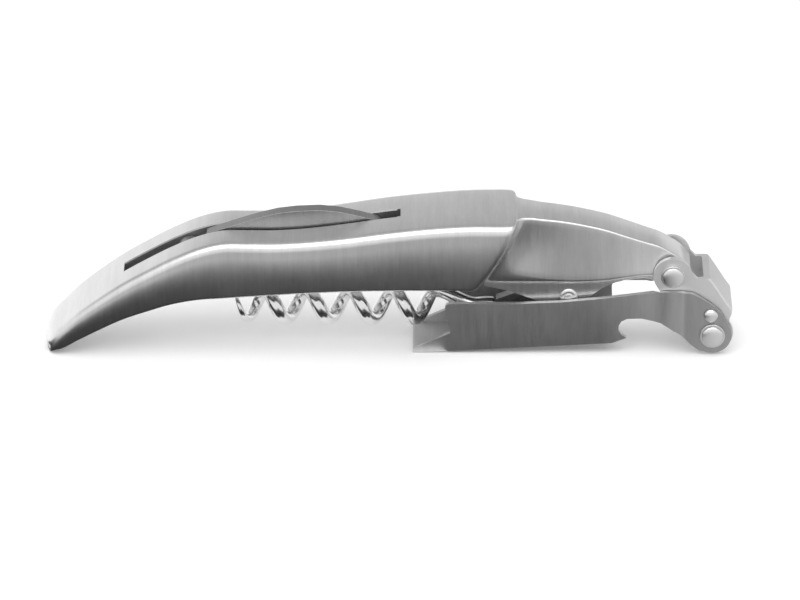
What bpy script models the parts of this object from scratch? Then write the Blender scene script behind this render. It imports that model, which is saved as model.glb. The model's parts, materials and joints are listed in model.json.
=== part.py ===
"""Waiter's friend corkscrew with a one-piece steel handle, shown closed.

Metres, +Z up. X runs from the tail of the handle to the hinge, Y runs across it with the
near side at -Y, and Z is the height over the surface that the tail and the lever rest on.
"""

import math

import bmesh
import bpy
import numpy as np
from mathutils import Matrix, Vector

# Clearances
RUNNING_GAP = 0.00015
SEAT_GAP = 0.0003
CUT_OVERRUN = 0.004
BORE_CLEARANCE = 0.0001

# Handle
TAIL_X = -0.0734
BODY_LENGTH = 0.13685
BODY_HEIGHT = 0.031
GRIP_WIDTH = 0.0221
HEAD_WIDTH = 0.0107
TOP_CROWN = 0.00015
GRIP_INSET_SHARE = 0.04
HEAD_INSET_SHARE = 0.15
LOWER_INSET = 0.00085
SHOULDER_ROUND = 0.002
HEAD_EDGE_ROUND = 0.0004
HEAD_RIDGE_ROUND = 0.0012
TAIL_BOW = 0.0011
TAIL_BOW_SHARE = 0.05
LOWER_ROUND = 0.001
UNDERSIDE_HOLLOW = 0.0008
NOSE_REACH = 0.0039
EAR_RADIUS = 0.0041
EAR_INSET = 0.0005
HUB_SLOT_WIDTH = 0.0054
HUB_SLOT_REACH = 0.0258
HUB_SLOT_TOP_SHARE = 0.565
EAR_ROOT_SHARE = 0.561
KNIFE_SLOT_WIDTH = 0.00375
KNIFE_SLOT_START = 0.01665
KNIFE_SLOT_END_ROOM = 0.0031
KNIFE_SLOT_END_SLOPE = 0.001
KNIFE_SLOT_TAIL_DROP = 0.002
KNIFE_SLOT_END_RISE = 0.0027

# Pivots
LINK_PIVOT_HEIGHT_SHARE = 0.568
WORM_PIVOT_SETBACK = 0.022
WORM_PIVOT_HEIGHT_SHARE = 0.394
LINK_REACH = 0.0085
LEVER_PIVOT_HEIGHT = 0.0045
KNIFE_PIVOT_FROM_TAIL = 0.03085
KNIFE_PIVOT_HEIGHT_SHARE = 0.665

# Knife and its spring
KNIFE_LENGTH = 0.0407
KNIFE_RISE = 0.0102
KNIFE_THICKNESS = 0.003
KNIFE_EDGE_THICKNESS = 0.0005
KNIFE_GRIND_HEIGHT = 0.0062
KNIFE_TANG_RADIUS = 0.003
KNIFE_PIN_RADIUS = 0.0012
PIN_BLIND_DEPTH = 0.005
PIN_END_INSET = 0.0018
SPRING_THICKNESS = 0.0012
SPRING_WIDTH = 0.0031
SPRING_BLOCK_HEIGHT = 0.0028
SPRING_BLOCK_LENGTH = 0.0048
SPRING_PIN_RADIUS = 0.0007

# Worm
WORM_AXIS_HEIGHT_SHARE = 0.268
WORM_PITCH = 0.00915
WORM_COIL_RADIUS = 0.0031
WORM_WIRE_RADIUS = 0.0015
WORM_TIP_RADIUS = 0.00025
WORM_LAST_BOTTOM_SETBACK = 0.0326
WORM_SHANK_RADIUS = 0.00165
WORM_SHANK_START_SETBACK = 0.0195
WORM_SHANK_END_SETBACK = 0.0156
WORM_TURNS = 4.4
WORM_LAST_SHARE = 0.42
WORM_TIP_CLOSE_SHARE = 0.2
HUB_THICKNESS = 0.0026
HUB_EYE_RADIUS = 0.0034
WORM_RIVET_RADIUS = 0.00125
WORM_RIVET_HEAD_RADIUS = 0.0019
WORM_RIVET_HEAD_HEIGHT = 0.0005
WORM_WASHER_RADIUS = 0.0026

# Link between the handle and the lever
LINK_EAR_THICKNESS = 0.0011
LINK_INNER_WIDTH = 0.0105
LINK_EYE_RADIUS = 0.0041
LINK_FOOT_RADIUS = 0.00445
LINK_WEB_THICKNESS = 0.0013
LINK_OUTER_BEND = 0.0024
LINK_INNER_BEND = 0.0008
LINK_RIVET_RADIUS = 0.0015
LINK_RIVET_HEAD_RADIUS = 0.0022
LINK_RIVET_HEAD_HEIGHT = 0.0006
LINK_WASHER_RADIUS = 0.0025
WASHER_THICKNESS = 0.0004
BUSH_RADIUS = 0.0024

# Lever
LEVER_LENGTH = 0.0635
LEVER_OUTER_WIDTH = 0.0136
LEVER_HINGE_INNER_WIDTH = 0.0132
LEVER_WALL = 0.0011
LEVER_FLOOR = 0.0012
LEVER_END_RADIUS = 0.0041
LEVER_JOG_LENGTH = 0.0012
LEVER_JOG_SETBACK = 0.0127
LEVER_OUTER_JOG_SETBACK = 0.0125
LEVER_OUTER_JOG_LENGTH = 0.0042
LEVER_TOP_GAP = 0.0007
LEVER_RIVET_RADIUS = 0.00135
LEVER_RIVET_HEAD_RADIUS = 0.00225
LEVER_RIVET_HEAD_HEIGHT = 0.0007
LEVER_WASHER_RADIUS = 0.0027
STOP_PIN_RADIUS = 0.00095
STOP_PIN_HEAD_RADIUS = 0.0015
STOP_PIN_HEAD_HEIGHT = 0.0009
STOP_PIN_SWING = 0.00467

# Angles and counts
STOP_PIN_ANGLE = math.radians(95)
WORM_LOW_ANGLE = math.radians(245)
WORM_RUN_TURN = math.radians(54)
LEVER_SWING = math.radians(150)
ROUND_SIDES = 32
SMALL_SIDES = 24
COIL_STEPS = 24
STATION_STEPS = 2

# Places that follow from the sizes above
NOSE_X = TAIL_X + BODY_LENGTH
LINK_PIVOT = Vector((NOSE_X - NOSE_REACH, 0, LINK_PIVOT_HEIGHT_SHARE * BODY_HEIGHT))
WORM_PIVOT_HEIGHT = WORM_PIVOT_HEIGHT_SHARE * BODY_HEIGHT
WORM_PIVOT = Vector((LINK_PIVOT.x - WORM_PIVOT_SETBACK, 0, WORM_PIVOT_HEIGHT))
WORM_AXIS_HEIGHT = WORM_AXIS_HEIGHT_SHARE * BODY_HEIGHT
LEVER_PIVOT = Vector((LINK_PIVOT.x + LINK_REACH, 0, LEVER_PIVOT_HEIGHT))
KNIFE_PIVOT_X = TAIL_X + KNIFE_PIVOT_FROM_TAIL
KNIFE_PIVOT = Vector((KNIFE_PIVOT_X, 0, KNIFE_PIVOT_HEIGHT_SHARE * BODY_HEIGHT))
KNIFE_SLOT_LOW_X = TAIL_X + KNIFE_SLOT_START
KNIFE_SLOT_HIGH_X = KNIFE_PIVOT.x + KNIFE_LENGTH + KNIFE_SLOT_END_ROOM
UNDER_TANG = KNIFE_TANG_RADIUS + SPRING_THICKNESS + 3 * SEAT_GAP
KNIFE_SLOT_TANG_FLOOR = KNIFE_PIVOT.z - UNDER_TANG
KNIFE_SLOT_TAIL_FLOOR = KNIFE_SLOT_TANG_FLOOR - KNIFE_SLOT_TAIL_DROP
KNIFE_SLOT_END_FLOOR = KNIFE_SLOT_TANG_FLOOR + KNIFE_SLOT_END_RISE
LINK_DROP = LINK_PIVOT.z - LEVER_PIVOT.z
LEVER_HEIGHT = LINK_PIVOT.z - LINK_WASHER_RADIUS - LEVER_TOP_GAP
EAR_PLATE_WIDTH = HEAD_WIDTH - 2 * EAR_INSET
LINK_OUTER_HALF = LINK_INNER_WIDTH / 2 + LINK_EAR_THICKNESS
LEVER_HINGE_HALF = LEVER_HINGE_INNER_WIDTH / 2 + LEVER_WALL

# Each row gives the place of one section of the handle: where its top lies along the
# handle, how far it leans, its top, widest and lowest heights as shares of the handle's
# height, and its width, which is 0 at the head's and 1 at the grip's.
BODY_STATION_SHARES = (
    (0.000, 0.00, 0.060, 0.032, 0.018, 0.16),
    (0.002, 0.00, 0.098, 0.039, 0.005, 0.37),
    (0.010, 0.00, 0.150, 0.077, 0.018, 0.49),
    (0.025, 0.00, 0.211, 0.135, 0.039, 0.55),
    (0.048, 0.00, 0.304, 0.206, 0.095, 0.60),
    (0.081, 0.00, 0.420, 0.303, 0.178, 0.67),
    (0.119, 0.00, 0.538, 0.410, 0.264, 0.72),
    (0.158, 0.00, 0.640, 0.500, 0.330, 0.76),
    (0.197, 0.00, 0.733, 0.574, 0.386, 0.78),
    (0.237, 0.00, 0.810, 0.626, 0.421, 0.80),
    (0.275, 0.00, 0.853, 0.652, 0.433, 0.81),
    (0.314, 0.00, 0.856, 0.655, 0.446, 0.82),
    (0.359, 0.00, 0.856, 0.655, 0.460, 0.83),
    (0.410, 0.00, 0.872, 0.665, 0.476, 0.86),
    (0.470, 0.00, 0.906, 0.690, 0.493, 0.92),
    (0.535, 0.05, 0.949, 0.723, 0.501, 0.95),
    (0.601, 0.16, 0.981, 0.742, 0.504, 0.96),
    (0.656, 0.32, 0.998, 0.752, 0.506, 0.98),
    (0.692, 0.46, 1.000, 0.755, 0.507, 1.00),
    (0.712, 0.53, 1.000, 0.750, 0.507, 1.00),
    (0.720, 0.54, 1.000, 0.742, 0.507, 0.98),
    (0.725, 0.54, 1.000, 0.722, 0.507, 0.91),
    (0.728, 0.54, 1.000, 0.695, 0.505, 0.78),
    (0.729, 0.54, 1.000, 0.665, 0.502, 0.62),
    (0.730, 0.54, 0.999, 0.632, 0.498, 0.45),
    (0.732, 0.54, 0.998, 0.600, 0.494, 0.29),
    (0.736, 0.53, 0.997, 0.572, 0.491, 0.18),
    (0.743, 0.52, 0.993, 0.553, 0.487, 0.11),
    (0.754, 0.48, 0.988, 0.540, 0.484, 0.06),
    (0.769, 0.42, 0.977, 0.529, 0.481, 0.03),
    (0.799, 0.28, 0.960, 0.519, 0.481, 0.01),
    (0.832, 0.14, 0.933, 0.515, 0.481, 0.00),
    (0.868, 0.04, 0.894, 0.526, 0.481, 0.00),
    (0.901, 0.00, 0.844, 0.548, 0.508, -0.01),
    (0.930, 0.00, 0.799, 0.561, 0.516, -0.05),
    (0.952, 0.00, 0.765, 0.561, 0.481, -0.08),
    (0.971, 0.00, 0.716, 0.558, 0.444, -0.09),
    (0.985, 0.00, 0.672, 0.555, 0.458, -0.09),
    (0.995, 0.00, 0.619, 0.555, 0.497, -0.11),
    (0.999, 0.00, 0.597, 0.555, 0.523, -0.16),
    (1.000, 0.00, 0.581, 0.555, 0.535, -0.24),
)
LEAN_CURVE_SHARE = 0.4

# The lower edge of the ear plates from the handle to the round ear, and on to the head.
# Places are shares of the worm pivot's setback, heights are shares of its height.
EAR_FRONT_SHARES = (
    (-0.811, 1.207),
    (-0.609, 1.130),
    (-0.455, 1.034),
    (-0.270, 0.899),
)
EAR_BACK_SHARES = (
    (0.248, 1.065),
    (0.311, 1.150),
    (0.384, 1.228),
    (0.452, 1.277),
    (0.520, 1.306),
)

# The knife's outline from its shoulder along the back to the tip and along the belly.
KNIFE_BACK_SHARES = (
    (0.086, 0.461),
    (0.160, 0.569),
    (0.226, 0.657),
    (0.305, 0.765),
    (0.369, 0.843),
    (0.455, 0.931),
    (0.553, 0.980),
    (0.671, 1.000),
    (0.774, 0.961),
    (0.880, 0.863),
    (0.973, 0.765),
    (1.000, 0.667),
    (0.971, 0.480),
    (0.872, 0.196),
    (0.700, 0.000),
    (0.455, -0.108),
    (0.209, -0.157),
    (0.111, -0.196),
)

# The web side of the link, from its foot to its head, as shares of its reach and drop.
LINK_WEB_SHARES = (
    (1.429, -0.739),
    (1.492, -0.667),
    (1.500, -0.600),
    (1.365, -0.475),
    (1.176, -0.278),
    (0.976, -0.078),
    (0.929, -0.041),
    (0.612, -0.041),
    (0.459, 0.046),
)

# The lever's wall from the tip of the jaw round its upper edge to the hinge.
# Places are shares of its length from the pivot, heights are shares of its height.
LEVER_EDGE_SHARES = (
    (1.000, 0.000),
    (1.000, 0.063),
    (0.875, 0.319),
    (0.880, 0.451),
    (0.890, 0.667),
    (0.893, 0.729),
    (0.888, 0.778),
    (0.877, 0.792),
    (0.643, 0.795),
    (0.507, 0.819),
    (0.373, 0.875),
    (0.285, 0.924),
    (0.206, 0.972),
    (0.159, 0.997),
    (0.104, 1.000),
    (0.068, 0.979),
    (0.039, 0.910),
    (0.005, 0.806),
    (-0.028, 0.674),
)
LEVER_LIP_SHARES = (0.336, 0.156)
LEVER_HOOK_SHARES = (0.290, 0.232)

# The bottle opener in the near wall, and the wider clearance in the far wall.
NEAR_NOTCH_SHARES = (
    (0.287, 0.170),
    (0.288, 0.250),
    (0.304, 0.292),
    (0.313, 0.361),
    (0.313, 0.437),
    (0.304, 0.507),
    (0.285, 0.549),
    (0.239, 0.556),
    (0.173, 0.490),
    (0.105, 0.312),
    (0.072, 0.163),
    (0.039, 0.049),
)
FAR_NOTCH_SHARES = (
    (0.287, 0.170),
    (0.288, 0.250),
    (0.310, 0.292),
    (0.325, 0.375),
    (0.330, 0.520),
    (0.331, 0.690),
    (0.327, 0.738),
    (0.317, 0.765),
    (0.300, 0.775),
    (0.215, 0.775),
    (0.175, 0.735),
    (0.125, 0.560),
    (0.092, 0.368),
    (0.062, 0.194),
    (0.036, 0.049),
)


def clear_scene():
    for old in list(bpy.data.objects):
        bpy.data.objects.remove(old, do_unlink=True)


def new_collection(name, shown=True):
    made = bpy.data.collections.new(name)
    bpy.context.scene.collection.children.link(made)
    made.hide_render = not shown
    return made


def metal(name, grey, roughness):
    """A metal of one grey level."""
    made = bpy.data.materials.new(name)
    made.use_nodes = True
    shader = made.node_tree.nodes["Principled BSDF"]
    shader.inputs["Base Color"].default_value = (grey, grey, grey, 1)
    shader.inputs["Metallic"].default_value = 1
    shader.inputs["Roughness"].default_value = roughness
    return made


clear_scene()
PARTS = new_collection("waiters_friend_corkscrew")
CUTTERS = new_collection("cutters", shown=False)
BRUSHED = metal("brushed_steel", 0.62, 0.32)
SATIN = metal("satin_steel", 0.42, 0.38)
POLISHED = metal("polished_steel", 0.80, 0.12)
BLADE = metal("blade_steel", 0.55, 0.30)
SPRING_STEEL = metal("spring_steel", 0.45, 0.35)


def add_object(name, mesh, place, material=None):
    """An object in the parts with a material, or in the cutters without one."""
    made = bpy.data.objects.new(name, mesh)
    made.location = place
    if material is None:
        CUTTERS.objects.link(made)
        made.hide_render = True
        made.display_type = "WIRE"
    else:
        PARTS.objects.link(made)
        mesh.materials.append(material)
    return made


def shade(mesh, angle=math.radians(35)):
    mesh.shade_smooth()
    mesh.set_sharp_from_angle(angle=angle)


PLANES = {
    "XZ": Matrix(((1, 0, 0), (0, 0, -1), (0, 1, 0))),
    "XY": Matrix(((1, 0, 0), (0, 1, 0), (0, 0, 1))),
    "YZ": Matrix(((0, 0, 1), (1, 0, 0), (0, 1, 0))),
}


def plate(name, outline, half_thickness, place, material=None, plane="XZ", middle=0):
    """A flat outline in one plane, given half its thickness each way from the middle."""
    curve = bpy.data.curves.new(name, "CURVE")
    curve.dimensions = "2D"
    curve.fill_mode = "BOTH"
    curve.extrude = half_thickness
    spline = curve.splines.new("POLY")
    spline.points.add(len(outline) - 1)
    for point, (across, up) in zip(spline.points, outline):
        point.co = (across, up, 0, 1)
    spline.use_cyclic_u = True
    shape = bpy.data.objects.new(name, curve)
    PARTS.objects.link(shape)
    bpy.context.view_layer.update()
    graph = bpy.context.evaluated_depsgraph_get()
    mesh = bpy.data.meshes.new_from_object(shape.evaluated_get(graph))
    bpy.data.objects.remove(shape)
    turn = PLANES[plane]
    mesh.transform(turn.to_4x4() @ Matrix.Translation((0, 0, middle)))
    shell = bmesh.new()
    shell.from_mesh(mesh)
    bmesh.ops.remove_doubles(shell, verts=shell.verts, dist=1e-7)
    bmesh.ops.recalc_face_normals(shell, faces=shell.faces)
    shell.to_mesh(mesh)
    shell.free()
    mesh.name = name
    return add_object(name, mesh, place, material)


def arc(centre, radius, start, end, steps):
    """Points along an arc about a centre, from one angle to another in degrees."""
    angles = np.radians(np.linspace(start, end, steps + 1))
    return [(centre[0] + radius * math.cos(a), centre[1] + radius * math.sin(a)) for a in angles]


def drum(name, radius, low, high, place, sides=ROUND_SIDES):
    """A round cutter along Y between two places across the handle."""
    shell = bmesh.new()
    middle = (low + high) / 2
    turn = Matrix.Translation((0, middle, 0)) @ Matrix.Rotation(math.radians(-90), 4, "X")
    bmesh.ops.create_cone(
        shell,
        cap_ends=True,
        segments=sides,
        radius1=radius,
        radius2=radius,
        depth=high - low,
        matrix=turn,
    )
    mesh = bpy.data.meshes.new(name)
    shell.to_mesh(mesh)
    shell.free()
    return add_object(name, mesh, place)


def turned(name, profile, place, material, closed=False, sides=ROUND_SIDES):
    """A profile of (radius, place along Y) turned about the Y axis through a place."""
    mesh = bpy.data.meshes.new(name)
    points = [(radius, 0, along) for radius, along in profile]
    edges = [(i, i + 1) for i in range(len(points) - 1)]
    if closed:
        edges.append((len(points) - 1, 0))
    mesh.from_pydata(points, edges, [])
    made = add_object(name, mesh, place, material)
    made.rotation_euler = (math.radians(-90), 0, 0)
    screw = made.modifiers.new("turned", "SCREW")
    screw.axis = "Z"
    screw.steps = sides
    screw.render_steps = sides
    screw.use_merge_vertices = True
    screw.merge_threshold = 1e-6
    screw.use_smooth_shade = True
    return made


def change(target, other, operation):
    step = target.modifiers.new(operation.lower() + "_" + other.name, "BOOLEAN")
    step.operation = operation
    step.solver = "EXACT"
    step.object = other
    return target


def cut(target, *cutters):
    for cutter in cutters:
        change(target, cutter, "DIFFERENCE")
    return target


def join(target, other):
    return change(target, other, "UNION")


def axis(name, place):
    """The empty that carries what turns about one pivot."""
    made = bpy.data.objects.new(name, None)
    made.location = place
    PARTS.objects.link(made)
    return made


def carry(carrier, *pieces):
    for piece in pieces:
        piece.parent = carrier
        piece.location = piece.location - carrier.location


def from_pivot(pivot, point):
    return (point[0] - pivot.x, point[1] - pivot.z)


def rounded(corners, rounds, steps):
    """A half section whose inner corners are replaced by quadratic curves.

    Each curve starts and ends a given distance from its corner, but never further
    than 45 hundredths of the side that it lies on.
    """
    points = [corners[0]]
    for i in range(1, len(corners) - 1):
        corner = np.array(corners[i])
        to_last = np.array(corners[i - 1]) - corner
        to_next = np.array(corners[i + 1]) - corner
        last_length = np.linalg.norm(to_last)
        next_length = np.linalg.norm(to_next)
        start = corner + to_last * min(rounds[i - 1] / last_length, 0.45)
        end = corner + to_next * min(rounds[i - 1] / next_length, 0.45)
        for step in range(steps + 1):
            t = step / steps
            points.append(tuple((1 - t) ** 2 * start + 2 * t * (1 - t) * corner + t**2 * end))
    points.append(corners[-1])
    return points


def smooth_rows(rows, steps):
    """Rows between the given ones, on Catmull-Rom curves through them."""
    rows = np.array(rows)
    padded = np.vstack((rows[0], rows, rows[-1]))
    made = []
    for i in range(len(rows) - 1):
        before, low, high, after = padded[i : i + 4]
        for step in range(steps):
            t = step / steps
            bend = (2 * before - 5 * low + 4 * high - after) * t**2
            twist = (3 * low - before - 3 * high + after) * t**3
            made.append(low + ((high - before) * t + bend + twist) / 2)
    made.append(rows[-1])
    return made


def body_ring(row):
    """The section of the handle for one row of its table, as a closed ring of points."""
    along, lean, top_share, widest_share, low_share, width_share = row
    top = top_share * BODY_HEIGHT
    widest = widest_share * BODY_HEIGHT
    low = low_share * BODY_HEIGHT
    half = (HEAD_WIDTH + width_share * (GRIP_WIDTH - HEAD_WIDTH)) / 2
    crown = min(TOP_CROWN, (top - widest) / 4)
    hollow = min(UNDERSIDE_HOLLOW, (widest - low) / 4)
    grip_share = min(max(width_share, 0), 1)
    inset = half * (HEAD_INSET_SHARE + grip_share * (GRIP_INSET_SHARE - HEAD_INSET_SHARE))
    corners = (
        (0, top),
        (half - inset, top - crown),
        (half, widest),
        (half - LOWER_INSET, low),
        (0, low + hollow),
    )
    shoulder = HEAD_EDGE_ROUND + grip_share * (SHOULDER_ROUND - HEAD_EDGE_ROUND)
    ridge = HEAD_RIDGE_ROUND + grip_share * (BODY_HEIGHT - HEAD_RIDGE_ROUND)
    rounds = (shoulder, ridge, LOWER_ROUND)
    bow = TAIL_BOW * max(0, 1 - along / TAIL_BOW_SHARE)
    right = rounded(corners, rounds, 4)
    left = [(-y, z) for y, z in right[-2:0:-1]]
    ring = []
    for y, z in right + left:
        drop = max(top - z, 0)
        lean_length = lean * drop * (2 * drop / BODY_HEIGHT) ** LEAN_CURVE_SHARE
        x = TAIL_X + along * BODY_LENGTH + bow * (y / half) ** 4 - lean_length
        ring.append((x, y, z))
    return ring


def handle_body():
    """The one-piece handle: a lofted grip and head, with ears for the worm's pivot."""
    rings = [body_ring(row) for row in smooth_rows(BODY_STATION_SHARES, STATION_STEPS)]
    count = len(rings[0])
    shell = bmesh.new()
    grid = [[shell.verts.new(point) for point in ring] for ring in rings]
    for low_ring, high_ring in zip(grid, grid[1:]):
        for i in range(count):
            j = (i + 1) % count
            shell.faces.new((low_ring[i], low_ring[j], high_ring[j], high_ring[i]))
    shell.faces.new(grid[0])
    shell.faces.new(grid[-1])
    bmesh.ops.recalc_face_normals(shell, faces=shell.faces)
    mesh = bpy.data.meshes.new("handle_body")
    shell.to_mesh(mesh)
    shell.free()
    shade(mesh)
    body = add_object("handle_body", mesh, (0, 0, 0), BRUSHED)

    def ear_point(share):
        along, up = share
        return (WORM_PIVOT.x + along * WORM_PIVOT_SETBACK, up * WORM_PIVOT_HEIGHT)

    centre = (WORM_PIVOT.x, WORM_PIVOT.z)
    root = EAR_ROOT_SHARE * BODY_HEIGHT
    ear = [ear_point(share) for share in EAR_FRONT_SHARES]
    ear.insert(0, (ear[0][0] - SEAT_GAP, root))
    ear += arc(centre, EAR_RADIUS, 225, 355, 10)
    ear += [ear_point(share) for share in EAR_BACK_SHARES]
    ear.append((ear[-1][0], root))
    join(body, plate("ear_plates", ear, EAR_PLATE_WIDTH / 2, (0, 0, 0)))

    hub_reach = HUB_EYE_RADIUS + 2 * SEAT_GAP
    slot_end = WORM_PIVOT.x + hub_reach + RUNNING_GAP
    slot_start = WORM_PIVOT.x - HUB_SLOT_REACH
    below = WORM_PIVOT.z - EAR_RADIUS - CUT_OVERRUN
    ceiling = HUB_SLOT_TOP_SHARE * BODY_HEIGHT
    hub_slot = (
        (slot_start, below),
        (slot_end, below),
        (slot_end, ceiling),
        (slot_start, ceiling),
    )
    cut(body, plate("hub_slot", hub_slot, HUB_SLOT_WIDTH / 2, (0, 0, 0)))

    above = BODY_HEIGHT + CUT_OVERRUN
    tang_x = KNIFE_PIVOT.x - KNIFE_TANG_RADIUS - SEAT_GAP
    knife_slot = (
        (KNIFE_SLOT_LOW_X, KNIFE_SLOT_TAIL_FLOOR),
        (tang_x, KNIFE_SLOT_TANG_FLOOR),
        (KNIFE_SLOT_HIGH_X, KNIFE_SLOT_END_FLOOR),
        (KNIFE_SLOT_HIGH_X + KNIFE_SLOT_END_SLOPE, above),
        (KNIFE_SLOT_LOW_X, above),
    )
    cut(body, plate("knife_slot", knife_slot, KNIFE_SLOT_WIDTH / 2, (0, 0, 0)))

    out = GRIP_WIDTH / 2 + CUT_OVERRUN
    worm_bore = WORM_RIVET_RADIUS + BORE_CLEARANCE
    link_bore = LINK_RIVET_RADIUS + BORE_CLEARANCE
    knife_bore = KNIFE_PIN_RADIUS + BORE_CLEARANCE
    spring_bore = SPRING_PIN_RADIUS + BORE_CLEARANCE
    blind = -PIN_BLIND_DEPTH - SEAT_GAP
    cut(
        body,
        drum("worm_bore", worm_bore, -out, out, WORM_PIVOT),
        drum("link_bore", link_bore, -out, out, LINK_PIVOT),
        drum("knife_bore", knife_bore, blind, out, KNIFE_PIVOT, SMALL_SIDES),
        drum("spring_bore", spring_bore, blind, out, spring_pin_place(), SMALL_SIDES),
    )
    return body


def slot_floor(x):
    """Height of the knife slot's floor at a place under the knife."""
    start = KNIFE_PIVOT.x - KNIFE_TANG_RADIUS - SEAT_GAP
    share = (x - start) / (KNIFE_SLOT_HIGH_X - start)
    return KNIFE_SLOT_TANG_FLOOR + share * (KNIFE_SLOT_END_FLOOR - KNIFE_SLOT_TANG_FLOOR)


def spring_pin_place():
    x = KNIFE_SLOT_HIGH_X - SEAT_GAP - SPRING_BLOCK_LENGTH / 2
    return Vector((x, 0, slot_floor(x) + SEAT_GAP + SPRING_BLOCK_HEIGHT / 2))


def knife_blade():
    """The foil cutter, with its back standing out of the slot and its edge in it."""
    back = [(x * KNIFE_LENGTH, z * KNIFE_RISE) for x, z in KNIFE_BACK_SHARES]
    tang = arc((0, 0), KNIFE_TANG_RADIUS, 300, 40, 20)
    blade = plate("knife_blade", back + tang, KNIFE_THICKNESS / 2, KNIFE_PIVOT, BLADE)
    edge = KNIFE_EDGE_THICKNESS / 2
    side = KNIFE_THICKNESS / 2
    low = min(z for x, z in back)
    for name, turn in (("near_grind", -1), ("far_grind", 1)):
        wedge = (
            (turn * edge, low - CUT_OVERRUN),
            (turn * edge, low + SEAT_GAP),
            (turn * side, low + KNIFE_GRIND_HEIGHT),
            (turn * (side + CUT_OVERRUN), low + KNIFE_GRIND_HEIGHT),
            (turn * (side + CUT_OVERRUN), low - CUT_OVERRUN),
        )
        half_length = KNIFE_LENGTH / 2
        middle = half_length + 2 * KNIFE_TANG_RADIUS
        cut(blade, plate(name, wedge, half_length, KNIFE_PIVOT, plane="YZ", middle=middle))
    bore = KNIFE_PIN_RADIUS + BORE_CLEARANCE
    side_cut = KNIFE_THICKNESS + CUT_OVERRUN
    return cut(blade, drum("tang_bore", bore, -side_cut, side_cut, KNIFE_PIVOT, SMALL_SIDES))


def plain_pin(name, radius, place, low, high, material):
    """A pin with a small chamfer at both ends."""
    nose = radius / 4
    profile = (
        (0, high),
        (radius - nose, high),
        (radius, high - nose),
        (radius, low + nose),
        (radius - nose, low),
        (0, low),
    )
    return turned(name, profile, place, material, sides=SMALL_SIDES)


def back_spring():
    """The leaf on the slot's floor that holds the knife's tang."""
    pin = spring_pin_place()
    start = KNIFE_PIVOT.x - KNIFE_TANG_RADIUS / 2
    end = KNIFE_SLOT_HIGH_X - SEAT_GAP
    block = end - SPRING_BLOCK_LENGTH
    neck = block - SPRING_THICKNESS
    outline = (
        (start, slot_floor(start) + SEAT_GAP),
        (end, slot_floor(end) + SEAT_GAP),
        (end, slot_floor(end) + SEAT_GAP + SPRING_BLOCK_HEIGHT),
        (block, slot_floor(block) + SEAT_GAP + SPRING_BLOCK_HEIGHT),
        (neck, slot_floor(neck) + SEAT_GAP + SPRING_THICKNESS),
        (start, slot_floor(start) + SEAT_GAP + SPRING_THICKNESS),
    )
    local = [from_pivot(pin, point) for point in outline]
    leaf = plate("back_spring", local, SPRING_WIDTH / 2, pin, SPRING_STEEL)
    bore = SPRING_PIN_RADIUS + BORE_CLEARANCE
    side_cut = SPRING_WIDTH + CUT_OVERRUN
    return cut(leaf, drum("spring_eye", bore, -side_cut, side_cut, pin, SMALL_SIDES))


def worm_path():
    """Points and wire radii of the worm, from its tip to the end of its shank.

    The turns are a right-handed helix about the X axis. After the last low point the
    wire winds in to the axis and grows into the straight shank.
    """
    whole = WORM_TURNS + WORM_LAST_SHARE
    turns = np.linspace(-WORM_TURNS, WORM_LAST_SHARE, int(whole * COIL_STEPS) + 1)
    angles = WORM_LOW_ANGLE + 2 * math.pi * turns
    tip = np.minimum((turns + WORM_TURNS) / 0.75, 1)
    wire = WORM_TIP_RADIUS + (WORM_WIRE_RADIUS - WORM_TIP_RADIUS) * tip
    last_x = WORM_PIVOT.x - WORM_LAST_BOTTOM_SETBACK
    closing = WORM_TIP_CLOSE_SHARE * (1 - np.minimum((turns + WORM_TURNS) / 1.5, 1)) ** 2
    x = last_x + WORM_PITCH * (turns + closing)
    y = WORM_COIL_RADIUS * np.cos(angles)
    z = WORM_COIL_RADIUS * np.sin(angles)
    shank_x = WORM_PIVOT.x - WORM_SHANK_START_SETBACK
    steps = np.linspace(0, 1, 15)[1:]
    ease = 1 - steps**2 * (3 - 2 * steps)
    run_angles = angles[-1] + WORM_RUN_TURN * (2 * steps - steps**2)
    run_x = x[-1] + (shank_x - x[-1]) * steps
    run_y = WORM_COIL_RADIUS * ease * np.cos(run_angles)
    run_z = WORM_COIL_RADIUS * ease * np.sin(run_angles)
    run_wire = np.full(len(steps), WORM_WIRE_RADIUS)
    shoulder_x = shank_x + WORM_WIRE_RADIUS
    end_x = WORM_PIVOT.x - WORM_SHANK_END_SETBACK
    nose = WORM_SHANK_RADIUS / 3
    shank = (
        (shoulder_x, WORM_SHANK_RADIUS),
        (end_x - nose, WORM_SHANK_RADIUS),
        (end_x, WORM_SHANK_RADIUS - nose),
    )
    points = list(zip(x, y, z, wire)) + list(zip(run_x, run_y, run_z, run_wire))
    points += [(place, 0, 0, radius) for place, radius in shank]
    return points


def worm_spiral():
    """The steel worm as one unbroken wire, with its shank."""
    points = worm_path()
    curve = bpy.data.curves.new("worm_spiral", "CURVE")
    curve.dimensions = "3D"
    curve.bevel_depth = WORM_WIRE_RADIUS
    curve.bevel_resolution = 2
    curve.use_fill_caps = True
    curve.twist_mode = "MINIMUM"
    spline = curve.splines.new("POLY")
    spline.points.add(len(points) - 1)
    height = WORM_AXIS_HEIGHT - WORM_PIVOT.z
    for point, (x, y, z, wire) in zip(spline.points, points):
        point.co = (x - WORM_PIVOT.x, y, z + height, 1)
        point.radius = wire / WORM_WIRE_RADIUS
    made = bpy.data.objects.new("worm_spiral", curve)
    made.location = WORM_PIVOT
    curve.materials.append(POLISHED)
    PARTS.objects.link(made)
    return made


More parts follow.
